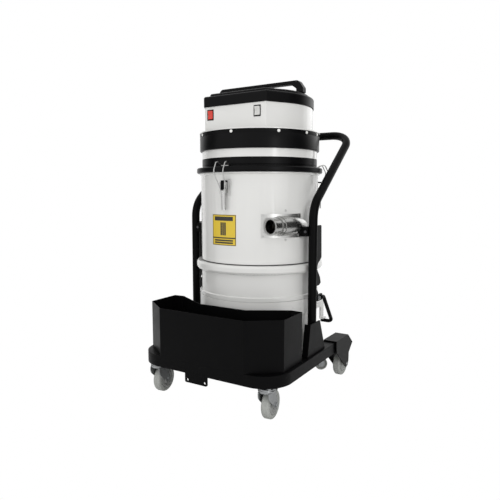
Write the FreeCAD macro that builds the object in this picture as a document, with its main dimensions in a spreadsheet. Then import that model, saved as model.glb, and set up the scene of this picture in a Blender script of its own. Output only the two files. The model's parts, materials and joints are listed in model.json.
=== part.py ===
"""Industrial shop vacuum, modelled in millimetres.

The origin lies on the floor under the middle of the machine. +Z is up, -Y is the front, where the
accessory basket and the swivel casters are, and +X is the right side seen from the front. Every
sub-part is drawn about the tank's axis and moved back to it by its Placement.
"""
import FreeCAD, Part
import math
import os
import Sketcher

Vector = FreeCAD.Vector

doc = FreeCAD.newDocument("ShopVacuum")

# ------------------------------------------------------------------ driving dimensions

DIMENSIONS = [
    ("tank_y", 43.5, "tank axis behind the origin"),
    ("tank_r", 230, "outer radius of the inlet chamber"),
    ("wall", 2, "sheet of tank, chamber and housing"),
    ("tube_wall", 2.5, "wall of the frame tube"),
    ("gap", 0.3, "clearance between pieces of different bodies"),
    ("frame_half", 298, "half of the frame's width"),
    ("frame_front", 400, "frame's front face ahead of the tank axis"),
    ("frame_rear", 205, "rear end of the rails behind the tank axis"),
    ("rail_w", 40, "width of the frame tube"),
    ("rail_z", 125, "underside of the frame tube"),
    ("rail_high", 42, "height of the frame tube"),
    ("frame_bend", 85, "centre-line radius of the frame's corners"),
    ("wheel_r", 50, "radius of the four chassis wheels"),
    ("wheel_w", 30, "width of the chassis wheels"),
    ("axle_r", 6, "radius of the wheel axles"),
    ("rear_wheel_x", 276, "middle of a rear wheel from the centre line"),
    ("rear_wheel_y", 200, "rear axle behind the tank axis"),
    ("swivel_x", 234, "front swivel axis from the centre line"),
    ("swivel_y", 350, "front swivel axis ahead of the tank axis"),
    ("trail", 32, "trail of a front caster"),
    ("heading", 5, "turn of the front casters"),
    ("plate_t", 3, "folded and laser-cut sheet"),
    ("housing_in", 258.4, "inner face of a wheel housing"),
    ("housing_out", 306, "outer face of a wheel housing"),
    ("container_r", 231, "outer radius of the dust container"),
    ("container_low", 90, "underside of the dust container"),
    ("container_top", 493, "top of the container's rolled rim"),
    ("rim_r", 250, "outer radius of the rolled rim"),
    ("rim_high", 31, "height of the rolled rim"),
    ("small_wheel_r", 26, "radius of the container's wheels"),
    ("small_wheel_w", 20, "width of the container's wheels"),
    ("ground_gap", 12, "raised container's wheels above the floor"),
    ("yoke_top", 360, "top edge of the lifting yoke"),
    ("yoke_high", 54, "height of the lifting yoke"),
    ("lift_pin_y", 90, "lift lever's inward end behind the tank axis"),
    ("lift_pin_z", 250, "height of the lift lever's inward end"),
    ("lift_rod_r", 7, "radius of the lift lever's rod"),
    ("lever_pivot_y", 35, "lift lever's pivot ahead of the tank axis"),
    ("lever_pivot_z", 366, "height of the lift lever's pivot"),
    ("chamber_low", 496.5, "lower edge of the inlet chamber"),
    ("chamber_top", 827.6, "upper edge of the inlet chamber"),
    ("flange_r", 246, "radius of the filter's flange"),
    ("flange_top", 848, "top of the filter's flange"),
    ("ring_r", 225, "radius of the two rings under the head"),
    ("collar_low", 881, "underside of the white collar"),
    ("band_low", 911, "underside of the black band"),
    ("band_top", 978, "top of the black band"),
    ("band_r", 233, "radius of the black band"),
    ("housing_r", 207, "radius of the motor housing"),
    ("panel_y", 180, "switch panel ahead of the tank axis"),
    ("panel_half", 131, "half of the switch panel's width"),
    ("switch_x", 101, "switches from the centre line"),
    ("switch_z", 1041, "height of the switches"),
    ("lid_low", 1071, "underside of the lid's rim"),
    ("lid_high", 39, "height of the lid's rim"),
    ("lid_over", 3, "lid's overhang beyond the motor housing"),
    ("lid_rise", 12, "height of the lid's raised middle"),
    ("carry_top", 1168, "top of the carry handle"),
    ("carry_half", 160, "half of the carry handle's grip"),
    ("handle_x", 266, "push handle's legs from the centre line"),
    ("handle_y", 69, "push handle's legs ahead of the tank axis"),
    ("handle_r", 16, "radius of the push handle's tube"),
    ("handle_bend_z", 706, "height where the push handle turns back"),
    ("grip_y", 300, "push handle's grip behind the tank axis"),
    ("grip_z", 994, "height of the push handle's grip"),
    ("handle_bend_r", 100, "bend radius of the push handle"),
    ("basket_top", 344, "top edge of the accessory basket"),
    ("inlet_z", 636, "height of the inlet's axis"),
    ("inlet_offset", 218, "inlet's axis beside the tank axis"),
    ("inlet_turn", 16, "inlet's turn towards the front"),
    ("inlet_reach", 155, "inlet's mouth ahead of the tank axis"),
    ("inlet_bore_r", 25, "radius of the inlet's bore"),
    ("inlet_bore_end", 22, "inner end of the inlet's bore ahead of the tank axis"),
    ("inlet_r", 36, "radius of the inlet's body"),
    ("deflector_r", 191, "outer radius of the sheet behind the inlet"),
    ("latch_z", 782, "height of the latch pivots"),
    ("latch_r", 243, "latch pivots from the tank axis"),
    ("latch_arm", 14, "bail's pivot below the lever's pivot"),
    ("wire_r", 2, "radius of the bail wire"),
    ("motor_r", 72, "radius of a bypass motor's fan case"),
]

sheet = doc.addObject("Spreadsheet::Sheet", "Dimensions")
for row, (alias, number, meaning) in enumerate(DIMENSIONS, 1):
    sheet.set("A%d" % row, meaning)
    sheet.set("B%d" % row, str(number))
    sheet.setAlias("B%d" % row, alias)
doc.recompute()


# ------------------------------------------------------------------ lengths tied to the sheet

class Length:
    """A length that knows both its value and the sheet expression it comes from."""

    def __init__(self, value, text):
        self.value = float(value)
        self.text = text

    def join(self, other, sign, value):
        return Length(value, "(%s %s %s)" % (self.text, sign, other.text))

    def __add__(self, other):
        other = length(other)
        return self.join(other, "+", self.value + other.value)

    def __sub__(self, other):
        other = length(other)
        return self.join(other, "-", self.value - other.value)

    def __mul__(self, other):
        other = length(other)
        return self.join(other, "*", self.value * other.value)

    def __truediv__(self, other):
        other = length(other)
        return self.join(other, "/", self.value / other.value)

    def __neg__(self):
        return Length(-self.value, "(0 - %s)" % self.text)

    def __radd__(self, other):
        return length(other) + self

    def __rsub__(self, other):
        return length(other) - self

    def __rmul__(self, other):
        return length(other) * self


def length(item):
    """The item itself when it is a Length, or a Length holding the plain number."""
    return item if isinstance(item, Length) else Length(item, repr(float(item)))


class Sheet:
    """Reads an alias of the sheet as a Length, as in cell.tank_r."""

    def __getattr__(self, alias):
        return Length(getattr(sheet, alias), "Dimensions." + alias)


cell = Sheet()


def cosine(angle):
    angle = length(angle)
    return Length(math.cos(math.radians(angle.value)), "cos(%s * 1deg)" % angle.text)


def sine(angle):
    angle = length(angle)
    return Length(math.sin(math.radians(angle.value)), "sin(%s * 1deg)" % angle.text)


def bind(item, prop, amount):
    """Binds one property to the sheet."""
    item.setExpression(prop, length(amount).text)


# ------------------------------------------------------------------ list of finished sub-parts

SUBPARTS = []


def finish(item, label, about_tank=True):
    """Names a finished sub-part and moves it back to the tank's axis."""
    item.Label = label
    if about_tank:
        bind(item, "Placement.Base.y", cell.tank_y)
    SUBPARTS.append(item)
    return item


# ------------------------------------------------------------------ Part primitives and booleans

counter = iter(range(1, 100000))


def new(kind, name):
    return doc.addObject(kind, "%s_%03d" % (name, next(counter)))


def place(item, x, y, z):
    bind(item, "Placement.Base.x", x)
    bind(item, "Placement.Base.y", y)
    bind(item, "Placement.Base.z", z)
    return item


def box(x0, x1, y0, y1, z0, z1):
    """A block between two corners."""
    item = new("Part::Box", "Block")
    x0, x1, y0, y1, z0, z1 = [length(edge) for edge in (x0, x1, y0, y1, z0, z1)]
    bind(item, "Length", x1 - x0)
    bind(item, "Width", y1 - y0)
    bind(item, "Height", z1 - z0)
    return place(item, x0, y0, z0)


AXIS_TURNS = {
    "x": FreeCAD.Rotation(Vector(0, 1, 0), 90),
    "y": FreeCAD.Rotation(Vector(1, 0, 0), -90),
    "z": FreeCAD.Rotation(),
}


def rod(radius, long, x, y, z, along="z", turn=None):
    """A cylinder that starts at x, y, z and runs along an axis or a given rotation."""
    item = new("Part::Cylinder", "Rod")
    bind(item, "Radius", radius)
    bind(item, "Height", long)
    item.Placement = FreeCAD.Placement(Vector(), turn if turn else AXIS_TURNS[along])
    return place(item, x, y, z)


def fuse(parts):
    item = new("Part::MultiFuse", "Union")
    item.Shapes = parts
    return item


def cut(base, tools):
    item = new("Part::Cut", "Difference")
    item.Base = base
    item.Tool = tools[0] if len(tools) == 1 else fuse(tools)
    return item


def group(parts):
    """Several separate solids, such as a set of screws, kept as one sub-part."""
    item = new("Part::Compound", "Group")
    item.Links = parts
    return item


# ------------------------------------------------------------------ bodies and sketches

def body(name):
    item = doc.addObject("PartDesign::Body", name)
    return item


def sketch(owner, name, role, offset=None):
    """A sketch on one of the body's own origin planes."""
    item = owner.newObject("Sketcher::SketchObject", name)
    plane = [feature for feature in owner.Origin.OriginFeatures if feature.Role == role][0]
    item.AttachmentSupport = [(plane, "")]
    item.MapMode = "FlatFace"
    if offset is not None:
        bind(item, "AttachmentOffset.Base.z", offset)
    return item


def pin_point(item, geometry, position, x, y):
    """Holds one point of the sketch at lengths from the sketch's origin."""
    for kind, amount in (("DistanceX", x), ("DistanceY", y)):
        amount = length(amount)
        number = item.addConstraint(
            Sketcher.Constraint(kind, -1, 1, geometry, position, amount.value))
        bind(item, "Constraints[%d]" % number, amount)


def tangent_points(before, corner, after, radius):
    """Where an arc of the radius touches the two runs of a corner, and the arc's middle."""
    to_before = (before - corner).normalize()
    to_after = (after - corner).normalize()
    half = to_before.getAngle(to_after) / 2
    reach = radius / math.tan(half)
    middle = (to_before + to_after).normalize() * (radius / math.sin(half) - radius)
    return corner + to_before * reach, corner + middle, corner + to_after * reach


def counterclockwise_arc(first, middle, last, radius):
    """The arc that runs counterclockwise from first to last."""
    chord = (first + last) / 2
    inward = (chord - middle).normalize()
    centre = middle + inward * radius
    start = math.atan2(first.y - centre.y, first.x - centre.x)
    end = math.atan2(last.y - centre.y, last.x - centre.x)
    if end < start:
        end += 2 * math.pi
    return Part.ArcOfCircle(Part.Circle(centre, Vector(0, 0, 1), radius), start, end)


def outline(item, corners, closed=True):
    """Straight runs through the corners; a corner with a third number is rounded by it."""
    corners = [(length(c[0]), length(c[1]), length(c[2]) if len(c) > 2 else None)
               for c in corners]
    count = len(corners)
    spots = [Vector(x.value, y.value, 0) for x, y, r in corners]
    arcs = {}
    for index, (x, y, radius) in enumerate(corners):
        if radius is not None:
            arcs[index] = tangent_points(
                spots[index - 1], spots[index], spots[(index + 1) % count], radius.value)
    lines = []
    for index in range(count if closed else count - 1):
        after = (index + 1) % count
        start = arcs[index][2] if index in arcs else spots[index]
        end = arcs[after][0] if after in arcs else spots[after]
        lines.append(item.addGeometry(Part.LineSegment(start, end), False))
    for index, (x, y, radius) in enumerate(corners):
        leaving = lines[index] if index < len(lines) else None
        arriving = lines[index - 1] if closed or index > 0 else None
        if radius is None:
            if leaving is not None and arriving is not None:
                item.addConstraint(Sketcher.Constraint("Coincident", arriving, 2, leaving, 1))
            line, end = (leaving, 1) if leaving is not None else (arriving, 2)
            pin_point(item, line, end, x, y)
            continue
        touch, middle, leave = arcs[index]
        left_turn = (spots[index] - touch).cross(leave - spots[index]).z > 0
        first, last = (touch, leave) if left_turn else (leave, touch)
        arc = item.addGeometry(counterclockwise_arc(first, middle, last, radius.value), False)
        item.addConstraint(Sketcher.Constraint("Tangent", arriving, 2, arc, 1 if left_turn else 2))
        item.addConstraint(Sketcher.Constraint("Tangent", leaving, 1, arc, 2 if left_turn else 1))
        number = item.addConstraint(Sketcher.Constraint("Radius", arc, radius.value))
        bind(item, "Constraints[%d]" % number, radius)
        spot = item.addGeometry(Part.Point(spots[index]), True)
        item.addConstraint(Sketcher.Constraint("PointOnObject", spot, 1, arriving))
        item.addConstraint(Sketcher.Constraint("PointOnObject", spot, 1, leaving))
        pin_point(item, spot, 1, x, y)
    return item


def circle(item, x, y, radius):
    radius = length(radius)
    middle = Vector(length(x).value, length(y).value, 0)
    ring = item.addGeometry(Part.Circle(middle, Vector(0, 0, 1), radius.value), False)
    pin_point(item, ring, 3, x, y)
    number = item.addConstraint(Sketcher.Constraint("Radius", ring, radius.value))
    bind(item, "Constraints[%d]" % number, radius)
    return item


def rectangle(item, x0, x1, y0, y1, radius=None):
    spots = ((x0, y0), (x1, y0), (x1, y1), (x0, y1))
    if radius is not None:
        spots = [spot + (radius,) for spot in spots]
    return outline(item, spots)


def pad(owner, profile, long, both_ways=False, other_way=False):
    item = owner.newObject("PartDesign::Pad", "Pad")
    item.Profile = profile
    bind(item, "Length", long)
    item.Midplane = both_ways
    item.Reversed = other_way
    profile.Visibility = False
    doc.recompute()
    return item


def pocket(owner, profile, long=None, both_ways=False, other_way=False):
    """A pocket that must really remove material."""
    before = owner.Shape.Volume
    item = owner.newObject("PartDesign::Pocket", "Pocket")
    item.Profile = profile
    if long is None:
        item.Type = "ThroughAll"
    else:
        bind(item, "Length", long)
    item.Midplane = both_ways
    item.Reversed = other_way
    doc.recompute()
    if not owner.Shape.Volume < before:
        raise RuntimeError("the pocket of %s cuts nothing" % owner.Name)
    return item


def revolve(owner, profile):
    """A full turn about the sketch's own vertical axis."""
    item = owner.newObject("PartDesign::Revolution", "Revolution")
    item.Profile = profile
    item.ReferenceAxis = (profile, ["V_Axis"])
    item.Angle = 360
    doc.recompute()
    return item


def round_edges(owner, feature, radius, wanted):
    """Rounds the edges of a feature for which wanted(edge) is true."""
    doc.recompute()
    names = ["Edge%d" % (number + 1) for number, edge in enumerate(feature.Shape.Edges)
             if wanted(edge)]
    if not names:
        raise RuntimeError("no edge to round on %s" % owner.Name)
    item = owner.newObject("PartDesign::Fillet", "Fillet")
    item.Base = (feature, names)
    bind(item, "Radius", radius)
    doc.recompute()
    return item


def turned(name, corners):
    """A body turned from one closed profile of radius and height."""
    owner = body(name)
    profile = sketch(owner, name + "_profile", "XZ_Plane")
    outline(profile, corners)
    revolve(owner, profile)
    return owner


def bent_wire(corners, radii):
    """A wire of straight runs joined by tangent arcs."""
    edges = []
    start = corners[0]
    for index in range(1, len(corners) - 1):
        touch, middle, leave = tangent_points(
            corners[index - 1], corners[index], corners[index + 1], radii[index - 1])
        if (touch - start).Length > 1e-6:
            edges.append(Part.LineSegment(start, touch).toShape())
        edges.append(Part.Arc(touch, middle, leave).toShape())
        start = leave
    edges.append(Part.LineSegment(start, corners[-1]).toShape())
    return Part.Wire(edges)


def swept_rod(wire, radius):
    """A round bar of the radius along the wire."""
    first = wire.Edges[0]
    spot = first.valueAt(first.FirstParameter)
    heading = first.tangentAt(first.FirstParameter)
    section = Part.Wire([Part.Circle(spot, heading, radius).toShape()])
    return wire.makePipeShell([section], True, False)


def shaped(name, shape, label):
    """A sub-part whose shape is computed from the sheet, because no feature bends that way."""
    item = doc.addObject("Part::Feature", name)
    item.Shape = shape
    return finish(item, label)


# ------------------------------------------------------------------ chassis frame

def slab(owner, name, corners, x0, x1, side=1):
    """A flat plate drawn in the YZ plane between two X positions."""
    low, high = (length(x0), length(x1)) if side > 0 else (-length(x1), -length(x0))
    profile = sketch(owner, name, "YZ_Plane", low)
    outline(profile, corners)
    return pad(owner, profile, high - low)


def slab_hole(owner, name, y, z, radius):
    """A round hole through the whole body along X."""
    profile = sketch(owner, name, "YZ_Plane")
    circle(profile, y, z, radius)
    return pocket(owner, profile, cell.frame_half * 4, both_ways=True)


rail_mid_x = cell.frame_half - cell.rail_w / 2
rail_mid_z = cell.rail_z + cell.rail_high / 2
rail_top = cell.rail_z + cell.rail_high


def frame_plan(owner, name, inset, height, rear):
    """The frame tube seen from above, drawn in by the inset on every side."""
    plan = sketch(owner, name, "XY_Plane", height)
    outer, front = cell.frame_half - inset, inset - cell.frame_front
    inner = cell.frame_half - cell.rail_w + inset
    back = cell.rail_w - cell.frame_front - inset
    wide = cell.frame_bend + cell.rail_w / 2 - inset
    tight = cell.frame_bend - cell.rail_w / 2 + inset
    return outline(plan, [(outer, rear), (outer, front, wide), (-outer, front, wide),
                          (-outer, rear), (-inner, rear), (-inner, back, tight),
                          (inner, back, tight), (inner, rear)])


def make_frame_tube():
    """The bent box tube, open at the rear ends of its two rails."""
    owner = body("FrameTube")
    pad(owner, frame_plan(owner, "TubeOutside", 0, cell.rail_z, cell.frame_rear), cell.rail_high)
    inside = frame_plan(owner, "TubeInside", cell.tube_wall, rail_top - cell.tube_wall,
                        cell.frame_rear + 5)
    pocket(owner, inside, cell.rail_high - cell.tube_wall * 2)
    return finish(owner, "frame_tube")


def make_squeegee_bracket():
    """The tab under the front tube that a floor squeegee is bolted to."""
    owner = body("SqueegeeBracket")
    profile = sketch(owner, "BracketOutline", "XZ_Plane", cell.frame_front - 9)
    low = cell.rail_z - 34
    outline(profile, [(-71, low, 6), (25, low, 6), (25, cell.rail_z), (-71, cell.rail_z)])
    for x in (-60, 14):
        circle(profile, x, low + 10, 4.5)
    pad(owner, profile, 5)
    return finish(owner, "squeegee_bracket")


BASKET_SIDE = 284
BASKET_OUTLINE = [(-BASKET_SIDE, -189), (-BASKET_SIDE, -324), (-177, -403), (177, -403),
                  (BASKET_SIDE, -324), (BASKET_SIDE, -189), (240, -185), (100, -268),
                  (-100, -268), (-240, -185)]


def make_basket():
    """The folded sheet basket: an open-topped tray with a front fold and a hollowed back."""
    owner = body("ToolBasket")
    profile = sketch(owner, "BasketOutline", "XY_Plane", rail_top)
    outline(profile, BASKET_OUTLINE)
    block = pad(owner, profile, cell.basket_top - rail_top)
    top = ["Face%d" % (n + 1) for n, face in enumerate(block.Shape.Faces)
           if face.BoundBox.ZMin > cell.basket_top.value - 0.01]
    shell = owner.newObject("PartDesign::Thickness", "Sheet")
    shell.Base = (block, top)
    bind(shell, "Value", cell.wall)
    shell.Reversed = True
    shell.Join = "Intersection"
    doc.recompute()
    return finish(owner, "tool_basket")


def make_wheel_housing(side, label):
    """An inverted U over the rail's end, with side plates down to the rear axle."""
    owner = body("WheelHousing")
    y, z = cell.rear_wheel_y, cell.wheel_r
    top = rail_top + 6
    cheek = [(80, top), (207, top - 1), (260, 128), (219, 94), (217, 60),
             (y + 8, z - 10, 8), (y - 12, z - 12, 8), (83, 126)]
    slab(owner, "OuterPlate", cheek, cell.housing_out - 4, cell.housing_out, side)
    slab(owner, "TopPlate", [(80, rail_top), (80, top), (207, top - 1), (260, 128), (256, 124),
                             (cell.frame_rear, rail_top)],
         cell.housing_in - 8, cell.housing_out, side)
    slab(owner, "InnerPlate", cheek, cell.housing_in - 8, cell.housing_in - 4, side)
    slab_hole(owner, "AxleHole", y, z, cell.axle_r)
    return finish(owner, label)


def make_rear_axles():
    bolts = []
    inner = cell.housing_in - 8
    for side in (1, -1):
        start = inner if side > 0 else -cell.housing_out
        shank = rod(cell.axle_r, cell.housing_out - inner, start,
                    cell.rear_wheel_y, cell.wheel_r, "x")
        head_start = inner - 5 if side > 0 else -inner
        head = rod(cell.axle_r + 4, 5, head_start, cell.rear_wheel_y, cell.wheel_r, "x")
        bolts.append(fuse([shank, head]))
    return finish(group(bolts), "rear_axle_bolts")


def make_caster_mounts():
    plates = []
    for side in (1, -1):
        x, y = cell.swivel_x, -cell.swivel_y
        x0, x1 = (x - 60, x + 26) if side > 0 else (-x - 26, 60 - x)
        plates.append(box(x0, x1, y - 24, y + 45, cell.rail_z - 4, cell.rail_z))
    return finish(group(plates), "caster_mounts")


def make_gusset(side):
    """The channel-shaped foot beside a handle leg, with its slanted front flange."""
    owner = body("Gusset")
    top = rail_top + 117
    slab(owner, "Web", [(-150, rail_top), (5, rail_top), (-44, top), (-128, top)],
         handle_face, handle_face + 6, side)
    slab(owner, "Flange", [(-150, rail_top), (-147, rail_top), (-125, top), (-128, top)],
         handle_face - 18, handle_face, side)
    return owner


handle_face = cell.handle_x + cell.handle_r
LIFT_STUB_R = 5


def make_side_plate(side, label):
    """The laser-cut plate behind a handle leg, with the hook and the lift lever's pivot."""
    owner = body("SidePlate")
    x, y, z = cell.handle_x, -cell.lever_pivot_y, cell.lever_pivot_z
    slab(owner, "Plate", [(-60, 352), (y + 13, z - 12), (y + 13, z + 18), (-34, 396), (-41, 400),
                          (-34, 409), (-12, 410), (1, 418), (-7, 440), (-34, 472), (-29, 491),
                          (5, 512, 10), (0, 635, 6), (-60, 635)],
         x - cell.plate_t, x + cell.plate_t, side)
    notch = sketch(owner, "TubeNotch", "XY_Plane")
    circle(notch, x * side, -cell.handle_y, cell.handle_r)
    pocket(owner, notch, cell.handle_bend_z * 3, both_ways=True)
    slab_hole(owner, "PivotHole", y, z, LIFT_STUB_R + 0.05)
    return finish(owner, label)


def make_push_handle():
    """One tube: up both legs, back over the rear and across as the grip."""
    x, y, radius = cell.handle_x.value, -cell.handle_y.value, cell.handle_r.value
    bend_z = cell.handle_bend_z.value
    grip_y, grip_z = cell.grip_y.value, cell.grip_z.value
    wire = bent_wire([Vector(x, y, rail_top.value), Vector(x, y, bend_z),
                      Vector(x, grip_y, grip_z), Vector(-x, grip_y, grip_z),
                      Vector(-x, y, bend_z), Vector(-x, y, rail_top.value)],
                     [cell.handle_bend_r.value, 85, 85, cell.handle_bend_r.value])
    outer = swept_rod(wire, radius)
    inner = swept_rod(wire, radius - cell.wall.value)
    return shaped("PushHandle", outer.cut(inner), "push_handle")


make_frame_tube()
make_squeegee_bracket()
make_basket()
SIDES = ((1, "right"), (-1, "left"))
for side, word in SIDES:
    make_wheel_housing(side, "wheel_housing_" + word)
    make_side_plate(side, "side_plate_" + word)
finish(group([make_gusset(side) for side, word in SIDES]), "rail_gussets")
make_rear_axles()
make_caster_mounts()
make_push_handle()


# ------------------------------------------------------------------ wheels and casters

def wheel(label, radius, width, hub_half, axle):
    """A wheel on the X axis: rounded tyre, recessed disc and a longer hub."""
    owner = body("Wheel")
    profile = sketch(owner, "WheelProfile", "XZ_Plane")
    half = length(width) / 2
    radius, axle, hub_half = length(radius), length(axle), length(hub_half)
    bore = axle + 0.05
    outline(profile, [(-hub_half, bore), (hub_half, bore), (hub_half, axle + 5),
                      (half - 4, axle + 6), (half - 4, radius * 0.68), (half, radius * 0.74),
                      (half, radius, width / 4), (-half, radius, width / 4),
                      (-half, radius * 0.74), (4 - half, radius * 0.68),
                      (4 - half, axle + 6), (-hub_half, axle + 5)])
    turn = owner.newObject("PartDesign::Revolution", "Turn")
    turn.Profile = profile
    turn.ReferenceAxis = (profile, ["H_Axis"])
    turn.Angle = 360
    doc.recompute()
    owner.Label = label
    SUBPARTS.append(owner)
    return owner


def stand(item, x, y, z, turn=0):
    """Moves a piece to a place about the tank's axis, turned about Z by an angle."""
    item.Placement = FreeCAD.Placement(
        Vector(), FreeCAD.Rotation(Vector(0, 0, 1), length(turn).value))
    return place(item, length(x), length(y) + cell.tank_y, length(z))


def caster_fork(label, axle_z, trail, head_z, top_z, half_in, sheet_t, axle):
    """A swivel fork about its own Z axis: stem, crown, two cheeks and the axle they carry."""
    owner = body("Fork")
    axle_z, trail, head_z = length(axle_z), length(trail), length(head_z)
    outer = length(half_in) + sheet_t
    reach = axle_z - head_z
    cheek = [(reach * 0.34, head_z), (-reach * 0.4, head_z), (trail + 14, axle_z + 8, 8),
             (trail + 8, axle_z - 11, 8), (trail - 10, axle_z - 10, 8), (trail - 18, axle_z + 10)]
    crown = sketch(owner, "Crown", "XY_Plane", head_z - sheet_t)
    rectangle(crown, -outer, outer, reach * 0.34, -reach * 0.4)
    pad(owner, crown, sheet_t)
    slab(owner, "Cheek", cheek, half_in, outer)
    slab(owner, "OtherCheek", cheek, -outer, -length(half_in))
    stem = sketch(owner, "Stem", "XY_Plane", head_z)
    circle(stem, 0, 0, outer)
    pad(owner, stem, length(top_z) - head_z)
    pin = sketch(owner, "Pin", "YZ_Plane", -outer)
    circle(pin, trail, axle_z, axle)
    pad(owner, pin, outer * 2)
    owner.Label = label
    SUBPARTS.append(owner)
    return owner


for side, word in SIDES:
    stand(wheel("rear_wheel_" + word, cell.wheel_r, cell.wheel_w, 20, cell.axle_r),
          cell.rear_wheel_x * side + side * 0.5, cell.rear_wheel_y, cell.wheel_r)
    fork = caster_fork("front_fork_" + word, cell.wheel_r, cell.trail, 108,
                       cell.rail_z - 4 - cell.gap, cell.wheel_w / 2 + 3, 3, cell.axle_r)
    stand(fork, cell.swivel_x * side, -cell.swivel_y, 0, cell.heading)
    stand(wheel("front_wheel_" + word, cell.wheel_r, cell.wheel_w, 17.7, cell.axle_r),
          cell.swivel_x * side - cell.trail * sine(cell.heading),
          cell.trail * cosine(cell.heading) - cell.swivel_y, cell.wheel_r, cell.heading)


# ------------------------------------------------------------------ inlet chamber

def make_chamber():
    r, w = cell.tank_r, cell.wall
    low, top = cell.chamber_low, cell.chamber_top
    return turned("Chamber", [(r - 12, low), (r, low), (r, top - 8), (r + 6, top - 5),
                              (r + 6, top), (r - w, top), (r - w, low + 3), (r - 12, low + 3)])


def inlet_solid(extra=0):
    """The outside of the inlet: a round body that dies into the wall, a collar and a spout."""
    r, z, c = cell.inlet_r.value + extra, cell.inlet_z.value, cell.inlet_offset.value
    stations = ((-108, c, r), (-50, c, r), (0, c - 7, r - 5), (40, c - 16, r - 16))
    rings = [Part.Wire([Part.Circle(Vector(x, y, z), Vector(0, 1, 0), size).toShape()])
             for y, x, size in stations]
    solid = Part.makeLoft(rings, True)
    spout = cell.inlet_bore_r.value + 4 + extra
    mouth = cell.inlet_reach.value
    for start, end, size in ((100, mouth, spout), (108, 120, spout + 4), (mouth - 8, mouth, spout + 2)):
        solid = solid.fuse(Part.makeCylinder(size, end - start, Vector(c, -end, z), Vector(0, 1, 0)))
    return solid.removeSplitter()


def turned_in(shape):
    """The shape turned about the tank to the inlet's direction."""
    shape.rotate(Vector(), Vector(0, 0, 1), -cell.inlet_turn.value)
    return shape


def make_inlet_pipe():
    c, z, bore = cell.inlet_offset.value, cell.inlet_z.value, cell.inlet_bore_r.value
    solid = inlet_solid()
    hollow = Part.makeCylinder(bore, cell.inlet_reach.value + 1 - cell.inlet_bore_end.value,
                               Vector(c, -cell.inlet_reach.value - 1, z), Vector(0, 1, 0))
    solid = turned_in(solid.cut(hollow))
    inside = Part.makeCylinder(cell.tank_r.value - cell.wall.value, 400, Vector(0, 0, 500))
    pieces = solid.cut(inside).Solids
    return shaped("InletPipe", max(pieces, key=lambda piece: piece.Volume), "inlet_pipe")


def sector(radius_out, radius_in, low, high, start, sweep):
    """Part of a tube about Z between two angles, measured from the front towards +X."""
    outer = new("Part::Cylinder", "Sector")
    bind(outer, "Radius", radius_out)
    bind(outer, "Height", length(high) - low)
    outer.Angle = sweep
    outer.Placement = FreeCAD.Placement(Vector(), FreeCAD.Rotation(Vector(0, 0, 1), start - 90))
    place(outer, 0, 0, low)
    inner = rod(radius_in, length(high) - low + 2, 0, 0, length(low) - 1)
    return cut(outer, [inner])


inlet_tool = doc.addObject("Part::Feature", "InletTool")
inlet_tool.Shape = turned_in(inlet_solid())

finish(cut(make_chamber(), [inlet_tool]), "chamber_shell")
make_inlet_pipe()
PLATE_ANGLES = (31.6, 39.2)
finish(cut(sector(cell.tank_r + 1.5, cell.tank_r, cell.inlet_z - 43, cell.inlet_z + 43,
                  *PLATE_ANGLES), [inlet_tool]), "inlet_plate")
deflector_in = cell.deflector_r - 2
finish(fuse([sector(cell.deflector_r, deflector_in, cell.inlet_z - 40, cell.inlet_z + 47, 50, 75),
             sector(cell.tank_r - cell.wall, deflector_in, cell.inlet_z + 45, cell.inlet_z + 47,
                    50, 75)]), "inlet_deflector")
gasket_low = cell.container_top + cell.gap
finish(turned("Gasket", [(219, gasket_low), (cell.tank_r + 1, gasket_low),
                         (cell.tank_r + 1, cell.chamber_low), (219, cell.chamber_low)]),
       "chamber_gasket")
finish(sector(cell.tank_r + 0.6, cell.tank_r, 563, 675, -18, 27), "label_panel")

brackets = []
bolts = []
for side, word in SIDES:
    block = box(214 if side > 0 else -251, 251 if side > 0 else -214, -84, -54, 596, 632)
    inside = rod(cell.tank_r, 400, 0, 0, 500)
    leg = rod(cell.handle_r, 400, cell.handle_x * side, -cell.handle_y, 500)
    plate = sector(cell.tank_r + 1.5, 200, 590, 682, *PLATE_ANGLES)
    brackets.append(cut(block, [inside, leg] + ([inlet_tool, plate] if side > 0 else [])))
    bolts.append(rod(5, 5, 243 * side, -89, 614, "y"))
finish(group(brackets), "chamber_brackets")
finish(group(bolts), "bracket_bolts")


# ------------------------------------------------------------------ dust container and its lift

def make_container():
    r, w = cell.container_r, cell.wall
    low, top, rim = cell.container_low, cell.container_top, cell.rim_r
    rim_low = top - cell.rim_high
    bead = cell.yoke_top + 0.6
    owner = turned("Container", [(0, low), (r, low), (r, bead), (r + 5, bead + 1), (r + 5, bead + 14),
                                 (r, bead + 17), (r, rim_low), (rim - 4, rim_low, 3),
                                 (rim, rim_low + 8, 3), (rim, top - 8, 3), (rim - 5, top, 3),
                                 (r - w, top), (r - w, low + w), (0, low + w)])
    return finish(owner, "container_shell")


def make_base():
    """The disc under the container that its casters are screwed to, with two fixed forks."""
    low = cell.container_low - 4
    parts = [rod(248, 4, 0, 0, low)]
    half = cell.small_wheel_w / 2 + 2
    for side in (1, -1):
        x = length(150 * side)
        for start in (x - half - 3, x + half):
            parts.append(box(start, start + 3, -162, -138, small_z - 9, low))
        parts.append(rod(small_axle, half * 2 + 6, x - half - 3, -150, small_z, "x"))
    return finish(fuse(parts), "container_base")


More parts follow.
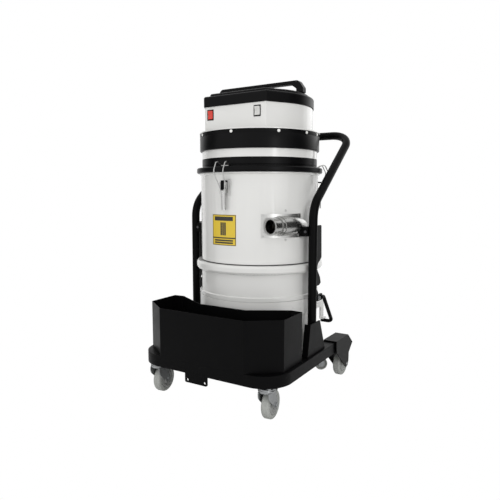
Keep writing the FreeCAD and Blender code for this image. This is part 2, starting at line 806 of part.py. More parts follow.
def make_yoke():
    """A half ring round the front of the container with two feet on the lift levers' ends."""
    inner, outer = cell.container_r + 1, cell.container_r + 7
    low = cell.yoke_top - cell.yoke_high
    foot_low = cell.lift_pin_z + cell.lift_rod_r + cell.gap
    y = cell.lift_pin_y
    parts = [sector(outer, inner, low, cell.yoke_top, -90, 180)]
    for side in (1, -1):
        for x0, x1, y0, y1, z0, z1 in (
                (inner, outer, length(0), y + 15, low, low + 24),
                (inner, outer, y - 15, y + 15, foot_low, low),
                (inner, outer + 12, y - 15, y + 15, foot_low, foot_low + 5)):
            parts.append(box(x0, x1, y0, y1, z0, z1) if side > 0 else
                         box(-x1, -x0, y0, y1, z0, z1))
    return finish(fuse(parts), "lift_yoke")


def make_lift_lever(side, label):
    """A pivoted arm plate with a bent round bar whose inward end carries the yoke."""
    plate_in = cell.handle_x.value + cell.plate_t.value + cell.gap.value
    plate_t = 8
    y, z, r = -cell.lever_pivot_y.value, cell.lever_pivot_z.value, cell.lift_rod_r.value
    plate = Part.makeBox(plate_t, 46, 24, Vector(plate_in, y - 14, z - 12))
    stub = Part.makeCylinder(LIFT_STUB_R, plate_t + 6, Vector(plate_in - 6, y, z), Vector(1, 0, 0))
    x = plate_in + plate_t + 3
    pin_y, pin_z = cell.lift_pin_y.value, cell.lift_pin_z.value
    wire = bent_wire([Vector(x, y + 16, z), Vector(x, y + 36, z), Vector(x, pin_y, pin_z),
                      Vector(cell.container_r.value + 3.5, pin_y, pin_z)], [12, 18])
    lever = plate.fuse([stub, swept_rod(wire, r)]).removeSplitter()
    if side < 0:
        lever = lever.mirror(Vector(), Vector(1, 0, 0))
    return shaped("LiftLever", lever, label)


make_container()
small_z = cell.small_wheel_r + cell.ground_gap
base_low = cell.container_low - 4
small_axle = 4
make_base()
make_yoke()
for side, word in SIDES:
    make_lift_lever(side, "lift_lever_" + word)
for side, word in SIDES:
    rear_turn = -55 * side
    fork = caster_fork("container_fork_" + word, small_z, 34, base_low - 8,
                       base_low - cell.gap, cell.small_wheel_w / 2 + 2, 2.5, small_axle)
    stand(fork, 171 * side, 158, 0, rear_turn)
    stand(wheel("container_rear_wheel_" + word, cell.small_wheel_r, cell.small_wheel_w, 11.7,
                small_axle),
          171 * side + 34 * sine(-rear_turn), 158 + 34 * cosine(rear_turn), small_z, rear_turn)
    stand(wheel("container_front_wheel_" + word, cell.small_wheel_r, cell.small_wheel_w, 11.7,
                small_axle), 150 * side, -150, small_z)


# ------------------------------------------------------------------ head

def housing_plan(owner, name, grow, height):
    """The motor housing from above: a flat panel, two tangent sides and a round back."""
    plan = sketch(owner, name, "XY_Plane", height)
    radius = cell.housing_r + grow
    half, front = cell.panel_half + grow, -cell.panel_y - grow
    reach = math.hypot(half.value, front.value)
    corner = math.atan2(half.value, -front.value)
    tangent = corner + math.acos(radius.value / reach)
    touch = Vector(radius.value * math.sin(tangent), -radius.value * math.cos(tangent), 0)
    left_touch = Vector(-touch.x, touch.y, 0)
    right, left = Vector(half.value, front.value, 0), Vector(-half.value, front.value, 0)
    panel = plan.addGeometry(Part.LineSegment(left, right), False)
    right_side = plan.addGeometry(Part.LineSegment(right, touch), False)
    start = tangent - math.pi / 2
    back = plan.addGeometry(Part.ArcOfCircle(
        Part.Circle(Vector(), Vector(0, 0, 1), radius.value), start, math.pi - start), False)
    left_side = plan.addGeometry(Part.LineSegment(left_touch, left), False)
    plan.addConstraint(Sketcher.Constraint("Coincident", panel, 2, right_side, 1))
    plan.addConstraint(Sketcher.Constraint("Tangent", right_side, 2, back, 1))
    plan.addConstraint(Sketcher.Constraint("Tangent", back, 2, left_side, 1))
    plan.addConstraint(Sketcher.Constraint("Coincident", left_side, 2, panel, 1))
    pin_point(plan, panel, 1, -half, front)
    pin_point(plan, panel, 2, half, front)
    plan.addConstraint(Sketcher.Constraint("Coincident", back, 3, -1, 1))
    number = plan.addConstraint(Sketcher.Constraint("Radius", back, radius.value))
    bind(plan, "Constraints[%d]" % number, radius)
    return plan


SWITCH_HALF_X, SWITCH_HALF_Z = 11.5, 16.5
lid_top = cell.lid_low + cell.lid_high + cell.lid_rise


def make_motor_housing():
    """The white cover over the motors, with a thin foot and two switch openings."""
    owner = body("MotorHousing")
    w = cell.wall
    foot = sketch(owner, "FootPlan", "XY_Plane", cell.band_top)
    circle(foot, 0, 0, cell.band_r + 1)
    pad(owner, foot, w * 2)
    pad(owner, housing_plan(owner, "CoverPlan", 0, cell.band_top), cell.lid_low - cell.band_top)
    pocket(owner, housing_plan(owner, "CoverInside", -w, cell.lid_low),
           cell.lid_low - cell.band_top)
    switches = sketch(owner, "SwitchHoles", "XZ_Plane", cell.panel_y - 20)
    for x in (-cell.switch_x - 5, cell.switch_x - 5):
        rectangle(switches, x - SWITCH_HALF_X, x + SWITCH_HALF_X,
                  cell.switch_z - SWITCH_HALF_Z, cell.switch_z + SWITCH_HALF_Z)
    pocket(owner, switches, 40, other_way=True)
    return finish(owner, "motor_housing")


def make_lid():
    """The black lid: a deep rim and a slightly raised middle, hollow below."""
    owner = body("Lid")
    over, w = cell.lid_over, 3
    cap = pad(owner, housing_plan(owner, "LidPlan", over, cell.lid_low), cell.lid_high)
    rim_top = cell.lid_low + cell.lid_high
    round_edges(owner, cap, 8, lambda edge: edge.BoundBox.ZMin > rim_top.value - 1)
    rise = pad(owner, housing_plan(owner, "MiddlePlan", -length(14), rim_top), cell.lid_rise)
    round_edges(owner, rise, 9, lambda edge: edge.BoundBox.ZMin > lid_top.value - 1)
    pocket(owner, housing_plan(owner, "LidInside", over - w, cell.lid_low),
           cell.lid_high - w, other_way=True)
    return finish(owner, "head_lid")


def make_carry_handle():
    """The black grip across the lid, a flat bar on two wider upright legs."""
    owner = body("CarryHandle")
    profile = sketch(owner, "HandleOutline", "XZ_Plane", -15)
    foot, top, half = lid_top, cell.carry_top, cell.carry_half
    grip = 13
    right = [(half + 32, foot), (half + 32, foot + 18, 12), (half + 12, top, 18)]
    left = [(-x, *rest) for x, *rest in reversed(right)]
    inner_right = [(half - 20, top - grip, 12), (half + 4, foot + 16, 8), (half + 4, foot)]
    inner_left = [(-x, *rest) for x, *rest in reversed(inner_right)]
    outline(profile, right + left + inner_left + inner_right)
    pad(owner, profile, 30)
    return finish(owner, "carry_handle")


def make_band_screws():
    screws = []
    for angle in (-36, -70, 5, 47, 77, 97, 135, 180, -135):
        turn = FreeCAD.Rotation(Vector(0, 0, 1), angle).multiply(
            FreeCAD.Rotation(Vector(1, 0, 0), 90))
        screws.append(rod(5.5, 2.5, cell.band_r * sine(angle), -cell.band_r * cosine(angle),
                          cell.band_top - 8, turn=turn))
    return finish(group(screws), "band_screws")


def make_motor(side, label):
    """A bypass motor: wide fan case below, narrower motor above."""
    low = cell.collar_low + 8
    high = cell.lid_low - 30
    r = cell.motor_r
    owner = turned("Motor", [(0, low), (r, low), (r, low + 58), (r - 16, low + 66),
                             (r - 16, high - 22), (r - 30, high - 12), (r - 30, high), (0, high)])
    finish(owner, label)
    bind(owner, "Placement.Base.x", (cell.motor_r + 4) * side)
    return owner


def make_star_filter():
    """The pleated filter: a star-shaped bag round a hollow, closed at the bottom."""
    low, high = cell.chamber_top.value - 228, cell.flange_top.value - 20
    pleats = 28
    spots = []
    for n in range(pleats * 2):
        radius = 176 if n % 2 == 0 else 142
        angle = math.pi * n / pleats
        spots.append(Vector(radius * math.cos(angle), radius * math.sin(angle), low))
    star = Part.Face(Part.makePolygon(spots + [spots[0]])).extrude(Vector(0, 0, high - low))
    hollow = Part.makeCylinder(134, high - low, Vector(0, 0, low + 4))
    return shaped("StarFilter", star.cut(hollow), "star_filter")


def make_filter_cage():
    """The wire cage that keeps the filter open."""
    low, high = cell.chamber_top.value - 222, cell.flange_top.value - 20
    hoops = [Part.makeTorus(126, 3, Vector(0, 0, z)) for z in (low + 6, low + 112, high - 4)]
    bars = []
    for n in range(8):
        angle = math.pi * n / 4
        spot = Vector(123 * math.cos(angle), 123 * math.sin(angle), low + 4)
        bars.append(Part.makeCylinder(2.5, high - low - 5, spot))
    cage = hoops[0].fuse(hoops[1:] + bars)
    return shaped("FilterCage", cage, "filter_cage")


def make_rocker(x, label):
    """A rocker with a shallow V face, pivoted behind the panel."""
    owner = body("Rocker")
    half = SWITCH_HALF_X - 0.8
    face = -cell.panel_y - 3
    z, reach = cell.switch_z, SWITCH_HALF_Z - 1.2
    slab(owner, "Side", [(face + 2, z), (face - 2, z + reach), (face + 8, z + reach - 3, 4),
                         (face + 14, z, 6), (face + 8, z - reach + 3, 4), (face, z - reach)],
         x - half, length(x) + half)
    return finish(owner, label)


ring_r, band_r = cell.ring_r, cell.band_r
flange_low = cell.flange_top - 20
finish(turned("Flange", [(120, flange_low), (cell.flange_r - 3, flange_low),
                         (cell.flange_r, flange_low + 3), (cell.flange_r, cell.flange_top - 3),
                         (cell.flange_r - 3, cell.flange_top), (180, cell.flange_top),
                         (172, flange_low + 5), (120, flange_low + 5)]), "filter_flange")
groove = cell.flange_top + 5
finish(turned("Ring", [(195, cell.flange_top), (ring_r, cell.flange_top), (ring_r, groove),
                       (ring_r - 3, groove), (ring_r - 3, groove + 3), (ring_r, groove + 3),
                       (ring_r, cell.collar_low), (195, cell.collar_low)]), "head_ring")
finish(cut(rod(ring_r - 4, 8, 0, 0, cell.collar_low),
           [rod(30, 20, (cell.motor_r + 4) * side, 0, cell.collar_low - 5) for side, word in SIDES]),
       "motor_plate")
finish(turned("Collar", [(ring_r - 4, cell.collar_low), (ring_r, cell.collar_low),
                         (ring_r, cell.band_low), (ring_r - 4, cell.band_low)]), "head_collar")
finish(turned("Band", [(ring_r - 8, cell.band_low), (band_r - 2, cell.band_low),
                       (band_r, cell.band_low + 2), (band_r, cell.band_top - 16),
                       (band_r - 1, cell.band_top - 14), (band_r, cell.band_top - 12),
                       (band_r, cell.band_top), (190, cell.band_top),
                       (190, cell.band_top - 4), (band_r - 4, cell.band_top - 4),
                       (band_r - 4, cell.band_low + 5), (ring_r - 8, cell.band_low + 5)]),
       "head_band")
make_motor_housing()
make_lid()
make_carry_handle()
make_band_screws()
for side, word in SIDES:
    make_motor(side, "motor_" + word)
make_star_filter()
make_filter_cage()
finish(cut(rod(10, 28, 0, cell.housing_r - 6, 1010, "y"), [rod(cell.housing_r, 60, 0, 0, 980)]),
       "cable_gland")
make_rocker(-cell.switch_x - 5, "rocker_red")
make_rocker(cell.switch_x - 5, "rocker_pale")
frames = []
for x in (-cell.switch_x - 5, cell.switch_x - 5):
    z, face = cell.switch_z, -cell.panel_y
    plate = box(x - 14, x + 14, face - 2, face, z - 19.5, z + 19.5)
    opening = box(x - SWITCH_HALF_X, x + SWITCH_HALF_X, face - 5, face + 5,
                  z - SWITCH_HALF_Z, z + SWITCH_HALF_Z)
    frames.append(cut(plate, [opening]))
finish(group(frames), "rocker_frames")


# ------------------------------------------------------------------ toggle latches

LATCHES = ((-1.5, "front"), (128, "rear_right"), (-128, "rear_left"))


def turned_about_tank(item, angle):
    """Turns a piece drawn at the front of the tank to another latch's place."""
    item.Placement = FreeCAD.Placement(Vector(), FreeCAD.Rotation(Vector(0, 0, 1), angle))
    return item


def make_latch_brackets():
    """The three dark blocks on the chamber that the levers turn on."""
    out, z = cell.latch_r, cell.latch_z
    blocks = []
    for angle, word in LATCHES:
        block = box(-8, 8, -out - 6, 4 - cell.tank_r, z - 16, z + 16)
        wall = rod(cell.tank_r, 200, 0, 0, z - 100)
        hole = rod(3.05, 40, -20, -out, z, "x")
        blocks.append(turned_about_tank(cut(block, [wall, hole]), angle))
    return finish(group(blocks), "latch_brackets")


def make_latch_lever(angle, label):
    """Two cheeks beside the block, a pivot pin through it and a tubular grip below."""
    out, z, arm = cell.latch_r.value, cell.latch_z.value, cell.latch_arm.value
    lever = Part.makeCylinder(3, 22.6, Vector(-11.3, -out, z), Vector(1, 0, 0))
    for x in (-11.3, 8.3):
        cheek = Part.makeBox(3, 16, 40, Vector(x, -out - 8, z - 30))
        lever = lever.fuse(cheek)
    lever = lever.fuse(Part.makeBox(22.6, 14, 10, Vector(-11.3, -out - 7, z - 30)))
    lever = lever.fuse(Part.makeCylinder(7.5, 66, Vector(0, -out, z - 90)))
    lever = lever.cut(Part.makeCylinder(5, 50, Vector(0, -out, z - 91)))
    eye = Part.makeCylinder(cell.wire_r.value + 0.05, 40, Vector(-20, -out, z - arm), Vector(1, 0, 0))
    lever = lever.cut(eye).removeSplitter()
    lever.rotate(Vector(), Vector(0, 0, 1), angle)
    return shaped("LatchLever", lever, label)


def make_latch_bail(angle, label):
    """The sprung wire: two eyes, two bulging legs and a bar that hooks over the flange."""
    out, z = cell.latch_r.value, cell.latch_z.value - cell.latch_arm.value
    hook = cell.flange_top.value + cell.wire_r.value + 0.3
    bar = cell.ring_r.value + cell.wire_r.value + 4
    half = [Vector(8.6, -out, z), Vector(14.5, -out, z), Vector(18, -268, z + 42),
            Vector(20, -275, z + 64), Vector(20, -258, hook + 16), Vector(18, -238, hook + 6),
            Vector(17, -bar, hook)]
    other = [Vector(-spot.x, spot.y, spot.z) for spot in reversed(half)]
    wire = bent_wire(half + other, [3, 20, 20, 10, 4, 4, 4, 4, 10, 20, 20, 3])
    bail = swept_rod(wire, cell.wire_r.value)
    bail.rotate(Vector(), Vector(0, 0, 1), angle)
    return shaped("LatchBail", bail, label)


make_latch_brackets()
for angle, word in LATCHES:
    make_latch_lever(angle, "latch_lever_" + word)
    make_latch_bail(angle, "latch_bail_" + word)


# ------------------------------------------------------------------ check and export

doc.recompute()
for item in doc.Objects:
    if "Invalid" in item.State or "Error" in item.State:
        raise RuntimeError("%s failed: %s" % (item.Name, item.State))

os.makedirs("parts", exist_ok=True)
for item in SUBPARTS:
    shape = item.Shape
    if shape.isNull() or not shape.isValid():
        raise RuntimeError("%s has no valid shape" % item.Label)
    shape.exportStep("parts/%s.step" % item.Label)
    print("%-28s %2d solids %10.0f mm3" % (item.Label, len(shape.Solids), shape.Volume))
print(len(SUBPARTS), "sub-parts")
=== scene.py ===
# %% [markdown]
# # An industrial shop vacuum
# This lesson dresses a shop vacuum: a white enamelled tank on a black bent frame, with a motor
# head on top, a sheet basket in front and a push handle behind. The exact shapes come from the
# imported parts, so the first cell loads them at their own size and place. Loading
# first means that every later piece is built on real positions instead of guesses.

# %% Load the imported parts
import bmesh
import bpy
import json
import math
from mathutils import Matrix, Vector


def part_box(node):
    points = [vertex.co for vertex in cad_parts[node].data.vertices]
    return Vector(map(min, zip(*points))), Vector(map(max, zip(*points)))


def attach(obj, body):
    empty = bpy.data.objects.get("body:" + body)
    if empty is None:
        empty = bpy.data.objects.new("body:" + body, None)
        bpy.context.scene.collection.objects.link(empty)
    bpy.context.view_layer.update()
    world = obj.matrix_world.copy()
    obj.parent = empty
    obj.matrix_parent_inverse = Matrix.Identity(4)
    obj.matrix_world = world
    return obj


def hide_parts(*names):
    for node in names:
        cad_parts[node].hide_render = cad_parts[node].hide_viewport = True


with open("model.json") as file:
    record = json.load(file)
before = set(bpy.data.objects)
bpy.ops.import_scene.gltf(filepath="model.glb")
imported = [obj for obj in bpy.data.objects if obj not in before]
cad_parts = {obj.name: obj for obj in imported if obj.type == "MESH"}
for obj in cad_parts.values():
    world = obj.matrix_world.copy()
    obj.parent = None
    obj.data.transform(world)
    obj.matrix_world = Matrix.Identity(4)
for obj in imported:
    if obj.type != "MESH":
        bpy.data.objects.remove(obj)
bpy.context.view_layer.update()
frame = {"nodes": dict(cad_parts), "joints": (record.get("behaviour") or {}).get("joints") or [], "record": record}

scene = bpy.context.scene
nodes = frame["nodes"]
body_of = {node: body for body, members in frame["record"]["behaviour"]["bodies"].items()
           for node in members}

# %% [markdown]
# ## Camera
# A product picture of a tall machine is taken from chest height with a short tele lens, so that
# upright edges stay nearly upright. The camera stands to the machine's right front and looks
# down a little. A rotation in Euler angles is easiest here: tilt about X, then heading about Z.

# %% Camera
CAMERA_PLACE = (1.019, -1.6935, 0.751)
CAMERA_HEADING = 31.47
CAMERA_TILT = 6.4

camera_data = bpy.data.cameras.new("camera")
camera_data.lens = 36.2
camera_data.sensor_width = 36.0
camera = bpy.data.objects.new("camera", camera_data)
camera.location = CAMERA_PLACE
camera.rotation_euler = (math.radians(90 - CAMERA_TILT), 0, math.radians(CAMERA_HEADING))
scene.collection.objects.link(camera)
scene.camera = camera
print("camera at", tuple(camera.location))

# %% [markdown]
# ## Light and floor
# White enamel needs large soft lights, because it mirrors them as long vertical streaks. Black
# powder coat needs them too, or its edges vanish. So there is one big light from the left front,
# a weaker one from the right, one from above and a white surrounding. The floor only throws
# light back up: the camera doesn't see it, which leaves a clean catalogue cut-out.

# %% Light and floor
def soft_light(name, place, target, width, height, power):
    """A rectangular lamp that faces the target."""
    data = bpy.data.lights.new(name, "AREA")
    data.shape = "RECTANGLE"
    data.size, data.size_y, data.energy = width, height, power
    lamp = bpy.data.objects.new(name, data)
    lamp.location = place
    lamp.rotation_euler = (Vector(target) - Vector(place)).to_track_quat("-Z", "Y").to_euler()
    scene.collection.objects.link(lamp)
    return lamp


soft_light("key", (-0.6, -2.9, 1.7), (0, 0, 0.6), 1.3, 2.0, 3)
soft_light("fill", (2.7, -1.6, 1.3), (0, 0, 0.6), 0.5, 1.8, 12)
soft_light("top", (0.2, 0.2, 2.9), (0, 0, 0.6), 2.2, 2.2, 1.5)
soft_light("back", (0.8, 2.6, 1.8), (0, 0, 0.7), 1.6, 1.6, 8)

world = bpy.data.worlds.new("studio")
world.use_nodes = True
world.node_tree.nodes["Background"].inputs["Color"].default_value = (1.0, 1.0, 1.0, 1)
world.node_tree.nodes["Background"].inputs["Strength"].default_value = 1.0
scene.world = world
scene.view_settings.view_transform = "Standard"

floor_mesh = bpy.data.meshes.new("floor")
floor_mesh.from_pydata([(-12, -12, 0), (12, -12, 0), (12, 12, 0), (-12, 12, 0)], [], [(0, 1, 2, 3)])
floor = bpy.data.objects.new("floor", floor_mesh)
scene.collection.objects.link(floor)
floor_paint = bpy.data.materials.new("floor_paint")
floor_paint.use_nodes = True
floor_shader = floor_paint.node_tree.nodes["Principled BSDF"]
floor_shader.inputs["Base Color"].default_value = (0.93, 0.93, 0.93, 1)
floor_shader.inputs["Roughness"].default_value = 0.9
floor_mesh.materials.append(floor_paint)
floor.visible_camera = False


def dark_flag(name, place, width, height):
    """A black card beside the set that gives the white tank a darker edge."""
    half = Vector((place[1], -place[0], 0)).normalized() * width / 2
    low, high = Vector((*place, 0.0)), Vector((*place, height))
    mesh = bpy.data.meshes.new(name)
    mesh.from_pydata([low - half, low + half, high + half, high - half], [], [(0, 1, 2, 3)])
    card = bpy.data.objects.new(name, mesh)
    card.visible_camera = False
    scene.collection.objects.link(card)
    mesh.materials.append(flag_cloth)


flag_cloth = bpy.data.materials.new("flag_cloth")
flag_cloth.use_nodes = True
flag_shader = flag_cloth.node_tree.nodes["Principled BSDF"]
flag_shader.inputs["Base Color"].default_value = (0.02, 0.02, 0.02, 1)
flag_shader.inputs["Roughness"].default_value = 1.0
dark_flag("flag_right", (2.4, 0.9), 2.2, 2.4)
dark_flag("flag_left", (-2.3, -0.5), 1.6, 2.4)

# %% [markdown]
# ## One recipe for painted, moulded and plated surfaces
# No real surface is one flat colour. Enamel has a faint orange-peel wave, powder coat a fine
# grain, and plated steel soft scratches. All of them are noise at different sizes, so one
# function mixes a little noise into the colour, the roughness and the bump, and every finish
# below only picks its numbers. Object coordinates keep the grain the same size on all pieces.

# %% Material recipe
def finish_of(name, colour, roughness, metal=0.0, coat=0.0, grain=300.0, bump=0.1, depth=0.0002,
              stretch=(1, 1, 1), mottle=0.06, patch=9.0, uneven=0.08, shine=0.5):
    """A procedural finish: mottled colour, uneven gloss and a fine bump."""
    material = bpy.data.materials.new(name)
    material.use_nodes = True
    tree = material.node_tree
    shader = tree.nodes["Principled BSDF"]
    shader.inputs["Metallic"].default_value = metal
    shader.inputs["Coat Weight"].default_value = coat
    shader.inputs["Coat Roughness"].default_value = 0.08
    shader.inputs["Specular IOR Level"].default_value = shine

    place = tree.nodes.new("ShaderNodeTexCoord")
    scale = tree.nodes.new("ShaderNodeMapping")
    scale.inputs["Scale"].default_value = stretch
    tree.links.new(place.outputs["Object"], scale.inputs["Vector"])

    wide = tree.nodes.new("ShaderNodeTexNoise")
    wide.inputs["Scale"].default_value = patch
    wide.inputs["Detail"].default_value = 5
    tree.links.new(scale.outputs["Vector"], wide.inputs["Vector"])

    tint = tree.nodes.new("ShaderNodeMixRGB")
    tint.inputs["Color1"].default_value = (*[c * (1 - mottle) for c in colour], 1)
    tint.inputs["Color2"].default_value = (*[min(1, c * (1 + mottle)) for c in colour], 1)
    tree.links.new(wide.outputs["Fac"], tint.inputs["Fac"])
    tree.links.new(tint.outputs["Color"], shader.inputs["Base Color"])

    gloss = tree.nodes.new("ShaderNodeMapRange")
    gloss.inputs["To Min"].default_value = max(0.02, roughness - uneven)
    gloss.inputs["To Max"].default_value = min(1, roughness + uneven)
    tree.links.new(wide.outputs["Fac"], gloss.inputs["Value"])
    tree.links.new(gloss.outputs["Result"], shader.inputs["Roughness"])

    fine = tree.nodes.new("ShaderNodeTexNoise")
    fine.inputs["Scale"].default_value = grain
    fine.inputs["Detail"].default_value = 3
    tree.links.new(scale.outputs["Vector"], fine.inputs["Vector"])
    relief = tree.nodes.new("ShaderNodeBump")
    relief.inputs["Strength"].default_value = bump
    relief.inputs["Distance"].default_value = depth
    tree.links.new(fine.outputs["Fac"], relief.inputs["Height"])
    tree.links.new(relief.outputs["Normal"], shader.inputs["Normal"])
    return material


print("recipe ready")

# %% [markdown]
# ## The finishes of this machine
# Each entry has the name of the slot that the parts already carry. The white enamel and the
# black coat cover most of the machine, so their grain matters most: long soft waves on enamel,
# pin-sized grain on powder coat.

# %% Finishes
FINISHES = {
    "white_paint": finish_of("white_enamel", (0.72, 0.718, 0.70), 0.24, coat=0.5, grain=70,
                             bump=0.12, depth=0.0004, mottle=0.012, patch=4, uneven=0.04),
    "yoke_paint": finish_of("yoke_enamel", (0.72, 0.718, 0.70), 0.28, coat=0.4, grain=70,
                            bump=0.12, depth=0.0004, mottle=0.015, patch=6, uneven=0.05),
    "black_coat": finish_of("black_powder_coat", (0.002, 0.002, 0.0022), 0.4, grain=1100,
                            bump=0.22, depth=0.0002, mottle=0.25, patch=14, uneven=0.07,
                            shine=0.06),
    "black_plastic": finish_of("black_moulded", (0.0025, 0.0025, 0.0028), 0.34, grain=1600,
                               bump=0.15, depth=0.0001, mottle=0.2, patch=12, uneven=0.06,
                               shine=0.1),
    "zinc": finish_of("zinc_plate", (0.36, 0.37, 0.375), 0.34, metal=1, grain=500, bump=0.08,
                      depth=0.0001, mottle=0.12, patch=45, uneven=0.1),
    "grey_rubber": finish_of("light_grey_tyre", (0.36, 0.37, 0.35), 0.62, grain=900, bump=0.3,
                             depth=0.0002, mottle=0.07, patch=30, uneven=0.08),
    "chrome": finish_of("polished_inlet", (0.42, 0.42, 0.41), 0.24, metal=1, grain=220,
                        bump=0.05, depth=0.0002, mottle=0.06, patch=20, uneven=0.06),
    "stainless": finish_of("brushed_stainless", (0.56, 0.56, 0.55), 0.3, metal=1, grain=240,
                           bump=0.1, depth=0.0001, stretch=(1, 1, 14), mottle=0.1, patch=26,
                           uneven=0.1),
    "seal_rubber": finish_of("seal_rubber", (0.02, 0.02, 0.02), 0.7, grain=700, bump=0.3),
    "yellow_label": finish_of("yellow_film", (0.70, 0.50, 0.03), 0.4, coat=0.1, grain=900,
                              bump=0.05, mottle=0.03, patch=40, uneven=0.04),
    "white_screws": finish_of("white_caps", (0.78, 0.78, 0.75), 0.4, grain=800, bump=0.1),
    "motor_metal": finish_of("cast_motor_case", (0.5, 0.5, 0.5), 0.45, metal=1, grain=400,
                             bump=0.3, mottle=0.12, patch=30),
    "filter_cloth": finish_of("needle_felt", (0.72, 0.7, 0.62), 0.95, grain=1400, bump=0.7,
                              depth=0.0006, mottle=0.1, patch=25, uneven=0.03),
    "red_rocker": finish_of("red_rocker_plastic", (0.62, 0.035, 0.018), 0.3, coat=0.3,
                            grain=600, bump=0.06, mottle=0.08, patch=60),
    "pale_rocker": finish_of("pale_rocker_plastic", (0.62, 0.62, 0.6), 0.35, coat=0.2,
                             grain=600, bump=0.06, mottle=0.04, patch=60),
}
DARK_INK = finish_of("label_ink", (0.018, 0.017, 0.015), 0.4, grain=900, bump=0.05, mottle=0.2)
WELD = finish_of("coated_weld", (0.005, 0.005, 0.0055), 0.4, grain=800, bump=0.3, mottle=0.25,
                 shine=0.1)
HUB = finish_of("wheel_hub_plastic", (0.3, 0.305, 0.295), 0.5, grain=800, bump=0.15, mottle=0.08,
                patch=40)
DULL_BOLT = finish_of("dull_bolt", (0.1, 0.1, 0.105), 0.45, metal=1, grain=500, mottle=0.15)
slot_of = {entry["node"]: entry["material_slot"] for entry in frame["record"]["subparts"]}
for node, piece in nodes.items():
    for number in range(len(piece.material_slots)):
        piece.material_slots[number].link = "OBJECT"
        piece.material_slots[number].material = FINISHES[slot_of[node]]
print(len(FINISHES), "finishes on", len(nodes), "parts")

# %% [markdown]
# ## Rounded edges
# A folded sheet or a moulded cover never has a knife edge, and the thin line of light along an
# edge is what makes metal look like metal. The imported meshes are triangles, so a copy is
# merged, its flat areas are joined, and a Bevel modifier rounds what is left. Hardened normals
# keep the flat areas flat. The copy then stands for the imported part.

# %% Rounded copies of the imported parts
MERGE = 2e-6


def rounded(node, width, segments=2, limit=32):
    """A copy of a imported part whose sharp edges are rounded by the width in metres."""
    mesh = nodes[node].data.copy()
    work = bmesh.new()
    work.from_mesh(mesh)
    bmesh.ops.remove_doubles(work, verts=work.verts, dist=MERGE)
    bmesh.ops.dissolve_limit(work, angle_limit=math.radians(0.4), verts=work.verts,
                             edges=work.edges)
    work.to_mesh(mesh)
    work.free()
    mesh.materials.clear()
    mesh.materials.append(FINISHES[slot_of[node]])
    mesh.polygons.foreach_set("use_smooth", [True] * len(mesh.polygons))
    mesh.set_sharp_from_angle(angle=math.radians(limit))
    piece = bpy.data.objects.new("look_" + node, mesh)
    scene.collection.objects.link(piece)
    if width:
        bevel = piece.modifiers.new("rounding", "BEVEL")
        bevel.width = width
        bevel.segments = segments
        bevel.limit_method = "ANGLE"
        bevel.angle_limit = math.radians(limit)
        bevel.harden_normals = True
    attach(piece, body_of[node])
    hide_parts(node)
    return piece


ROUNDING = {
    "frame_tube": 0.004, "tool_basket": 0.0009, "wheel_housing_right": 0.0012,
    "wheel_housing_left": 0.0012, "side_plate_right": 0.001, "side_plate_left": 0.001,
    "rail_gussets": 0.001, "squeegee_bracket": 0.0008, "caster_mounts": 0.0008,
    "chamber_brackets": 0.0012, "lift_yoke": 0.001, "lift_lever_right": 0.001,
    "lift_lever_left": 0.001, "container_shell": 0.0008, "container_base": 0.0008,
    "chamber_shell": 0.0008, "inlet_plate": 0.0004, "inlet_pipe": 0.0012,
    "filter_flange": 0.0012, "head_ring": 0.0007, "head_collar": 0.0006, "head_band": 0.0008,
    "motor_housing": 0.0008, "head_lid": 0.0012, "carry_handle": 0.003,
    "rocker_red": 0.0008, "rocker_pale": 0.0008, "rocker_frames": 0.0005,
    "band_screws": 0.0008, "bracket_bolts": 0.0008, "latch_brackets": 0.001,
    "chamber_gasket": 0.0006, "push_handle": 0.0006, "cable_gland": 0.001,
    "rear_axle_bolts": 0.0008,
}
for side in ("right", "left"):
    for word in ("rear_wheel_", "front_wheel_", "container_rear_wheel_",
                 "container_front_wheel_"):
        ROUNDING[word + side] = 0.0008
    ROUNDING["container_fork_" + side] = 0.0007
for place in ("front", "rear_right", "rear_left"):
    ROUNDING["latch_lever_" + place] = 0.0009
    ROUNDING["latch_bail_" + place] = 0.0
looks = {node: rounded(node, width) for node, width in ROUNDING.items()}
looks["bracket_bolts"].data.materials[0] = DULL_BOLT
print(len(looks), "parts have rounded copies")

# %% [markdown]
# ## Screws, bolts and rivets
# A machine like this is held by dozens of the same few fasteners. Modelling one head and
# placing it on points is what Geometry Nodes are for: the tree builds a head with a recess,
# puts it on every point, turns it along the stored direction and ends as a plain mesh.

# %% Fastener tree
def add_node(tree, kind, **settings):
    item = tree.nodes.new(kind)
    for key, value in settings.items():
        setattr(item, key, value)
    return item


